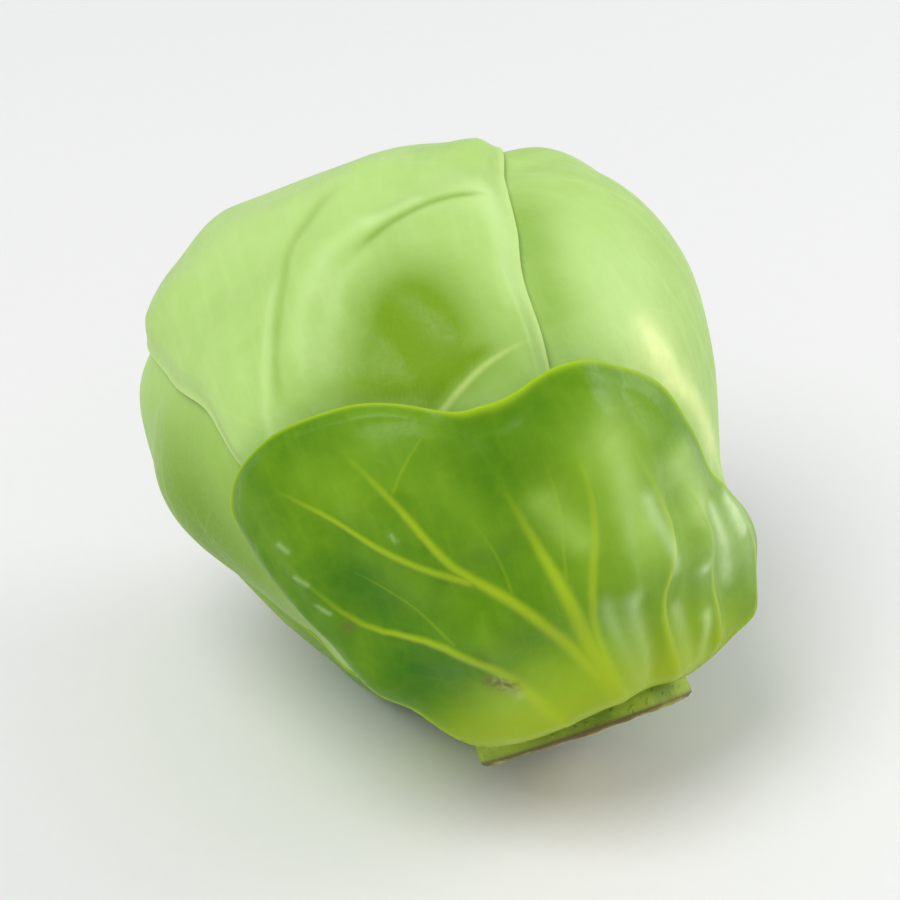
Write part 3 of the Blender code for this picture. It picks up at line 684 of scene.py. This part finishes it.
class Paint:
    # a short way to wire a material's nodes
    def __init__(self, name):
        self.material = bpy.data.materials.new(name)
        self.material.use_nodes = True
        self.tree = self.material.node_tree
        self.shader = self.tree.nodes["Principled BSDF"]
        self.place = self.node("ShaderNodeTexCoord").outputs["Object"]

    def node(self, kind, **inputs):
        made = self.tree.nodes.new(kind)
        for key, value in inputs.items():
            self.fill(made.inputs[key], value)
        return made

    def fill(self, socket, value):
        if isinstance(value, bpy.types.NodeSocket):
            self.tree.links.new(value, socket)
        elif isinstance(value, tuple) and socket.type == "RGBA":
            socket.default_value = (*value, 1.0)
        else:
            socket.default_value = value

    def attribute(self, name):
        made = self.node("ShaderNodeAttribute")
        made.attribute_name = name
        return made.outputs["Fac"]

    def noise(self, scale, detail, place=None):
        made = self.node("ShaderNodeTexNoise", Vector=place or self.place, Scale=scale, Detail=detail,
                         Roughness=0.55)
        return made.outputs["Fac"]

    def ranged(self, value, low, high, toLow=0.0, toHigh=1.0):
        made = self.node("ShaderNodeMapRange")
        made.interpolation_type = "SMOOTHSTEP"
        for key, entry in (("Value", value), ("From Min", low), ("From Max", high),
                           ("To Min", toLow), ("To Max", toHigh)):
            self.fill(made.inputs[key], entry)
        return made.outputs["Result"]

    def maths(self, operation, first, second):
        made = self.node("ShaderNodeMath")
        made.operation = operation
        self.fill(made.inputs[0], first)
        self.fill(made.inputs[1], second)
        return made.outputs["Value"]

    def mixed(self, share, first, second):
        made = self.node("ShaderNodeMix")
        made.data_type = "RGBA"
        self.fill(made.inputs["Factor"], share)
        self.fill(made.inputs[6], first)
        self.fill(made.inputs[7], second)
        return made.outputs[2]

    def cells(self, scale, feature="DISTANCE_TO_EDGE", place=None):
        made = self.node("ShaderNodeTexVoronoi")
        made.feature = feature
        self.fill(made.inputs["Vector"], place or self.place)
        self.fill(made.inputs["Scale"], scale)
        return made.outputs["Distance"]

    def bump(self, height, distance, strength, normal=None):
        made = self.node("ShaderNodeBump", Height=height, Distance=distance, Strength=strength)
        if normal is not None:
            self.fill(made.inputs["Normal"], normal)
        return made.outputs["Normal"]

    def warped(self, scale, amount):
        # the object's coordinates, pushed about a little so that cells look grown
        noise = self.node("ShaderNodeTexNoise", Vector=self.place, Scale=scale, Detail=2.0)
        shifted = self.node("ShaderNodeVectorMath")
        shifted.operation = "SUBTRACT"
        self.fill(shifted.inputs[0], noise.outputs["Color"])
        shifted.inputs[1].default_value = (0.5, 0.5, 0.5)
        scaled = self.node("ShaderNodeVectorMath")
        scaled.operation = "SCALE"
        self.fill(scaled.inputs[0], shifted.outputs["Vector"])
        scaled.inputs["Scale"].default_value = amount
        added = self.node("ShaderNodeVectorMath")
        added.operation = "ADD"
        self.fill(added.inputs[0], self.place)
        self.fill(added.inputs[1], scaled.outputs["Vector"])
        return added.outputs["Vector"]


# leaf grain: scales are per metre, and a bump is its height in metres with its strength
leafGrain = {
    "streaks": 1500.0, "streakStretch": 0.12, "broad": 150.0, "middle": 620.0, "fine": 3600.0,
    "net": 760.0, "smallNet": 2300.0, "netFade": 260.0, "warp": 500.0, "warpAmount": 0.0011,
    "flecks": 5200.0, "middleShare": 0.12, "baseShare": 0.85, "line": (0.1, 1.7),
    "fineBump": (0.00002, 0.12), "netBump": (0.00003, 0.30), "streakBump": (0.00003, 0.30),
    "middleBump": (0.00006, 0.20), "veinBump": (0.00006, 0.50),
    "ior": 1.42, "coatRoughness": 0.22, "sheenRoughness": 0.45, "rimRoughness": 0.2,
    "subsurface": 0.15, "subsurfaceRadius": (0.6, 1.0, 0.2), "subsurfaceScale": 0.0008,
}


def leafMaterial(name, look, seed):
    paint = Paint(name)
    shader = paint.shader
    grain = leafGrain
    along = paint.maths("MULTIPLY", paint.attribute("along"), grain["streakStretch"])
    grown = paint.node("ShaderNodeCombineXYZ", X=paint.attribute("across"), Y=along, Z=0.01 * seed)
    streaks = paint.ranged(paint.noise(grain["streaks"], 3.0, grown.outputs["Vector"]), 0.42, 0.72)
    broad = paint.ranged(paint.noise(grain["broad"] + 7.0 * seed, 2.0), 0.35, 0.70)
    middle = paint.ranged(paint.noise(grain["middle"], 3.0), 0.35, 0.68)
    fine = paint.noise(grain["fine"], 3.0)
    veins = None
    for number in range(veining["sets"]):
        away = paint.maths("ABSOLUTE", paint.attribute(f"line{number}"), 0.0)
        line = paint.ranged(away, *grain["line"], 1.0, 0.0)
        line = paint.maths("MULTIPLY", line, paint.attribute(f"share{number}"))
        veins = line if veins is None else paint.maths("MAXIMUM", veins, line)
    warped = paint.warped(grain["warp"], grain["warpAmount"])
    faded = paint.ranged(paint.noise(grain["netFade"], 2.0), 0.38, 0.62)
    net = paint.ranged(paint.cells(grain["net"], place=warped), 0.0, 0.20, 1.0, 0.0)
    net = paint.maths("MULTIPLY", net, faded)
    smallNet = paint.ranged(paint.cells(grain["smallNet"], place=warped), 0.0, 0.25, 1.0, 0.0)
    # body colour, mottled and patched
    colour = paint.mixed(paint.maths("MULTIPLY", broad, look["mottle"]), look["body"], look["dark"])
    colour = paint.mixed(paint.maths("MULTIPLY", middle, grain["middleShare"]), colour, look["light"])
    colour = paint.mixed(paint.maths("MULTIPLY", streaks, look["streaks"]), colour, look["light"])
    # the light and dark marks: partly the leaf's own paler and darker tone, partly painted highlight and
    # painted shade
    colour = paint.mixed(paint.attribute("light"), colour, look["light"])
    colour = paint.mixed(paint.attribute("dark"), colour, look["dark"])
    # fine nets of veins, then the larger ones, then the painted highlights: glints, sheen on the pleats and
    # backlight along an edge
    colour = paint.mixed(paint.maths("MULTIPLY", net, look["netting"]), colour, look["vein"])
    colour = paint.mixed(paint.maths("MULTIPLY", smallNet, look["netting"] * 0.4), colour, look["light"])
    colour = paint.mixed(paint.maths("MULTIPLY", veins, look["lineColour"]), colour, look["vein"])
    paintedHighlight = paint.maths("MULTIPLY", paint.attribute("paintedHighlight"), paint.ranged(middle, 0.0, 1.0, 0.8, 1.0))
    colour = paint.mixed(paintedHighlight, colour, look["paintedHighlight"])
    # towards the stalk and along the rim
    rim = paint.attribute("rim")
    base = paint.maths("MULTIPLY", paint.attribute("base"), grain["baseShare"])
    colour = paint.mixed(base, colour, look["base"])
    colour = paint.mixed(paint.maths("MULTIPLY", rim, look["rimColour"]), colour, look["rim"])
    speck = paint.ranged(paint.noise(grain["flecks"], 2.0), 0.70, 0.80)
    colour = paint.mixed(paint.maths("MULTIPLY", speck, look["flecks"]), colour, look["rim"])
    brown = paint.maths("MULTIPLY", paint.attribute("brown"), paint.ranged(fine, 0.35, 0.6, 0.3, 1.0))
    colour = paint.mixed(brown, colour, look["brown"])
    paint.fill(shader.inputs["Base Color"], colour)
    rough = paint.ranged(fine, 0.3, 0.7, look["roughness"] - 0.06, look["roughness"] + 0.08)
    rough = paint.maths("ADD", rough, paint.maths("MULTIPLY", rim, grain["rimRoughness"]))
    paint.fill(shader.inputs["Roughness"], rough)
    shader.inputs["IOR"].default_value = grain["ior"]
    shader.inputs["Specular IOR Level"].default_value = look["specular"]
    shader.inputs["Coat Weight"].default_value = look["coat"]
    shader.inputs["Coat Roughness"].default_value = grain["coatRoughness"]
    shader.inputs["Sheen Weight"].default_value = look["sheen"]
    shader.inputs["Sheen Roughness"].default_value = grain["sheenRoughness"]
    shader.inputs["Subsurface Weight"].default_value = grain["subsurface"]
    shader.inputs["Subsurface Radius"].default_value = grain["subsurfaceRadius"]
    shader.inputs["Subsurface Scale"].default_value = grain["subsurfaceScale"]
    relief = paint.bump(fine, *grain["fineBump"])
    relief = paint.bump(net, *grain["netBump"], relief)
    relief = paint.bump(streaks, *grain["streakBump"], relief)
    relief = paint.bump(middle, *grain["middleBump"], relief)
    relief = paint.bump(veins, *grain["veinBump"], relief)
    paint.fill(shader.inputs["Normal"], relief)
    return paint.material


heartLook = dict(headLook, body=tone(206, 216, 110), dark=tone(160, 186, 60), mottle=0.4)
heartShape = {"subdivisions": 6, "paleFrom": 10.0, "paleOver": 40.0}

stalkLook = {
    "skin": tone(158, 186, 44), "skinDark": tone(128, 158, 30), "cut": tone(176, 172, 84),
    "pith": tone(196, 196, 120), "ring": tone(128, 112, 44), "rimBrown": tone(100, 84, 40),
    "roughness": 0.72, "fibres": 2600.0, "pores": 2100.0, "ringWobble": 0.22,
    "fibreBump": (0.00010, 0.6), "poreBump": (0.00012, 0.5),
    "subsurface": 0.12, "subsurfaceRadius": (0.9, 0.8, 0.3), "subsurfaceScale": 0.0008,
}

stalkShape = {
    "radius": 0.00640, "cutDepth": 0.01835, "chamfer": 0.00030, "sides": 120,
    "slant": 6.0, "deepestAzimuth": 75.0,
    "browned": 0.00040, "hollow": 0.00022, "sawnUneven": 0.00005,
    "topRings": 9, "sideRings": 16, "neckRings": 12, "cutRings": 26,
}


def makeHeart():
    body = bmesh.new()
    bmesh.ops.create_icosphere(body, subdivisions=heartShape["subdivisions"], radius=1.0)
    directions = np.array([v.co.normalized() for v in body.verts])
    radius = heartSurface(directions)
    place = laidOver()
    for vertex, point in zip(body.verts, directions * radius[:, None]):
        vertex.co = place @ Vector(point)
    zero = np.zeros(len(directions))
    names = ("share0", "share1", "share2", "rim", "dark", "light", "paintedHighlight", "brown", "across", "along")
    attributes = {name: zero for name in names}
    pale = (fromStalk(directions) - heartShape["paleFrom"]) / heartShape["paleOver"]
    attributes["base"] = 1.0 - smoothStep(pale)
    piece = finishPiece("heart", body, attributes)
    piece.data.materials.append(leafMaterial("heart", heartLook, 9))
    print("heart made:", len(piece.data.polygons), "faces")


def stalkMaterial():
    look = stalkLook
    paint = Paint("cut_stalk")
    shader = paint.shader
    out = paint.attribute("out")
    onCut = paint.attribute("onCut")
    wobble = paint.maths("SUBTRACT", paint.noise(420.0, 3.0), 0.5)
    wobble = paint.maths("MULTIPLY", wobble, look["ringWobble"])
    ringPlace = paint.maths("ADD", out, wobble)
    fibres = paint.noise(look["fibres"], 4.0)
    pores = paint.ranged(paint.cells(look["pores"], "F1"), 0.10, 0.32, 1.0, 0.0)
    cut = paint.mixed(paint.ranged(ringPlace, 0.30, 0.55), look["pith"], look["cut"])
    cut = paint.mixed(paint.maths("MULTIPLY", pores, 0.45), cut, look["ring"])
    ringStart, ringEnd = paint.ranged(ringPlace, 0.60, 0.68), paint.ranged(ringPlace, 0.72, 0.84, 1.0, 0.0)
    ring = paint.maths("MULTIPLY", ringStart, ringEnd)
    cut = paint.mixed(paint.maths("MULTIPLY", ring, 0.7), cut, look["ring"])
    cut = paint.mixed(paint.ranged(ringPlace, 0.88, 1.0), cut, look["rimBrown"])
    cut = paint.mixed(paint.ranged(paint.noise(300.0, 4.0), 0.52, 0.75, 0.0, 0.5), cut, look["rimBrown"])
    skin = paint.mixed(paint.ranged(paint.noise(380.0, 4.0), 0.42, 0.68), look["skin"], look["skinDark"])
    skin = paint.mixed(paint.ranged(fibres, 0.50, 0.80, 0.0, 0.20), skin, look["rimBrown"])
    skin = paint.mixed(paint.attribute("nearCut"), skin, look["rimBrown"])
    paint.fill(shader.inputs["Base Color"], paint.mixed(onCut, skin, cut))
    rough = paint.ranged(fibres, 0.3, 0.7, look["roughness"] - 0.1, look["roughness"] + 0.1)
    paint.fill(shader.inputs["Roughness"], rough)
    shader.inputs["Subsurface Weight"].default_value = look["subsurface"]
    shader.inputs["Subsurface Radius"].default_value = look["subsurfaceRadius"]
    shader.inputs["Subsurface Scale"].default_value = look["subsurfaceScale"]
    relief = paint.bump(fibres, *look["fibreBump"])
    relief = paint.bump(pores, *look["poreBump"], relief)
    paint.fill(shader.inputs["Normal"], relief)
    return paint.material


def makeStalk():
    shape = stalkShape
    rimDegrees = math.degrees(math.atan(shape["radius"] / shape["cutDepth"]))
    chamferDegrees = math.degrees(shape["chamfer"] / shape["cutDepth"])
    collar = growth["collarDegrees"]
    top = list(np.linspace(0.0, collar, shape["topRings"]))
    neckDegrees = growth["leafBaseDegrees"] - 1.0
    side = list(np.linspace(collar, neckDegrees, shape["sideRings"]))
    side += list(np.linspace(neckDegrees, rimDegrees, shape["neckRings"] + 2)[1:-1])
    cut = [rimDegrees, *np.linspace(rimDegrees - chamferDegrees, 0.0, shape["cutRings"])]
    # the rings are told apart by their distance from the middle until they get their real place
    body = bmesh.new()
    points = [
        body.verts.new((math.sin(math.radians(angle)), 0.0, -math.cos(math.radians(angle))))
        for angle in top + side + cut
    ]
    for number, point in enumerate(points):
        point.co *= 1.0 + number
    edges = [body.edges.new(pair) for pair in zip(points, points[1:])]
    bmesh.ops.spin(
        body, geom=points + edges, cent=(0, 0, 0), axis=(0, 0, 1), dvec=(0, 0, 0),
        angle=math.tau, steps=shape["sides"], use_merge=True, use_duplicate=False,
    )
    bmesh.ops.remove_doubles(body, verts=body.verts, dist=1e-6)
    ring = np.array([round(v.co.length) - 1 for v in body.verts])
    directions = np.array([v.co.normalized() for v in body.verts])
    radius = heartSurface(directions) + growth["leafGap"]
    onSide = (ring >= len(top)) & (ring < len(top + side))
    onCut = ring > len(top + side)
    radius = np.where(onSide, radius + collarThickness(directions), radius)
    deeper = directions @ compass(shape["deepestAzimuth"], 0.0)
    across = -directions[:, 2] - math.tan(math.radians(shape["slant"])) * deeper
    downNeck = np.clip((neckDegrees - fromStalk(directions)) / (neckDegrees - rimDegrees), 0.0, 1.0)
    flare = downNeck * (shape["cutDepth"] / across - shape["chamfer"] - radius)
    radius = np.where(onSide, radius + flare, radius)
    radius = np.where(ring == len(top + side), shape["cutDepth"] / across - shape["chamfer"], radius)
    # the cut face: flat, slanted, a little hollow and unevenly cut
    out = np.tan(np.radians(fromStalk(directions))) * shape["cutDepth"] / shape["radius"]
    hollow = shape["hollow"] * smoothStep((0.9 - out) / 0.5)
    hollow += shape["sawnUneven"] * (unevenness(directions, 4.0, 77) + 1.5)
    radius = np.where(onCut, (shape["cutDepth"] - hollow * (out < 0.97)) / across, radius)
    place = laidOver()
    for vertex, point in zip(body.verts, directions * radius[:, None]):
        vertex.co = place @ Vector(point)
    above = (shape["cutDepth"] / across - radius) / shape["browned"]
    attributes = {"out": np.clip(out, 0.0, 1.0), "onCut": (ring >= len(top + side)).astype(float),
                  "nearCut": np.exp(-(above**2))}
    piece = finishPiece("stalk", body, attributes)
    piece.data.materials.append(stalkMaterial())
    print("stalk made:", len(piece.data.polygons), "faces")


makeStalk()
makeHeart()
for layer in range(len(leaves)):
    makeLeaf(layer)

studio = {
    "floor": tone(236, 236, 235), "floorGrain": tone(222, 222, 220), "floorSize": 3.0,
    "sky": (0.97, 0.98, 1.0, 1.0), "skyStrength": 0.55,
    "keyPlace": (-0.16, -0.16, 0.45), "keySize": 0.30, "keyPower": 1.35,
    "fillPlace": (0.34, 0.12, 0.16), "fillSize": 0.20, "fillPower": 0.55,
    "elevation": 35.0, "lens": 120.0, "sensor": 36.0, "frameWidth": 0.0520, "aim": (0.0, 0.0, 0.0172),
}


def makeFloor():
    body = bmesh.new()
    bmesh.ops.create_grid(body, x_segments=2, y_segments=2, size=studio["floorSize"])
    mesh = bpy.data.meshes.new("floor")
    body.to_mesh(mesh)
    body.free()
    floor = bpy.data.objects.new("floor", mesh)
    bpy.context.scene.collection.objects.link(floor)
    paint = Paint("floor")
    grain = paint.noise(900.0, 3.0)
    colour = paint.mixed(paint.ranged(grain, 0.3, 0.7, 0.0, 0.06), studio["floor"], studio["floorGrain"])
    paint.fill(paint.shader.inputs["Base Color"], colour)
    paint.shader.inputs["Roughness"].default_value = 0.6
    mesh.materials.append(paint.material)


def makeLight(name, place, size, power):
    lamp = bpy.data.lights.new(name, "AREA")
    lamp.shape = "DISK"
    lamp.size = size
    lamp.energy = power
    light = bpy.data.objects.new(name, lamp)
    light.location = place
    light.rotation_euler = (Vector(studio["aim"]) - Vector(place)).to_track_quat("-Z", "Y").to_euler()
    bpy.context.scene.collection.objects.link(light)


def makeStudio():
    world = bpy.data.worlds.new("studio")
    world.use_nodes = True
    backdrop = world.node_tree.nodes["Background"]
    backdrop.inputs["Color"].default_value = studio["sky"]
    backdrop.inputs["Strength"].default_value = studio["skyStrength"]
    bpy.context.scene.world = world
    makeLight("keyLight", studio["keyPlace"], studio["keySize"], studio["keyPower"])
    makeLight("fillLight", studio["fillPlace"], studio["fillSize"], studio["fillPower"])
    bpy.context.scene.view_settings.view_transform = "Standard"


def makeCamera():
    lens = bpy.data.cameras.new("camera")
    lens.lens = studio["lens"]
    lens.sensor_width = studio["sensor"]
    lens.clip_start, lens.clip_end = 0.005, 20.0
    camera = bpy.data.objects.new("camera", lens)
    rise = math.radians(studio["elevation"])
    back = Vector((0.0, -math.cos(rise), math.sin(rise)))
    distance = studio["frameWidth"] * studio["lens"] / studio["sensor"]
    camera.location = Vector(studio["aim"]) + back * distance
    camera.rotation_euler = (-back).to_track_quat("-Z", "Y").to_euler()
    bpy.context.scene.collection.objects.link(camera)
    bpy.context.scene.camera = camera


makeFloor()
makeStudio()
makeCamera()
print("studio made")
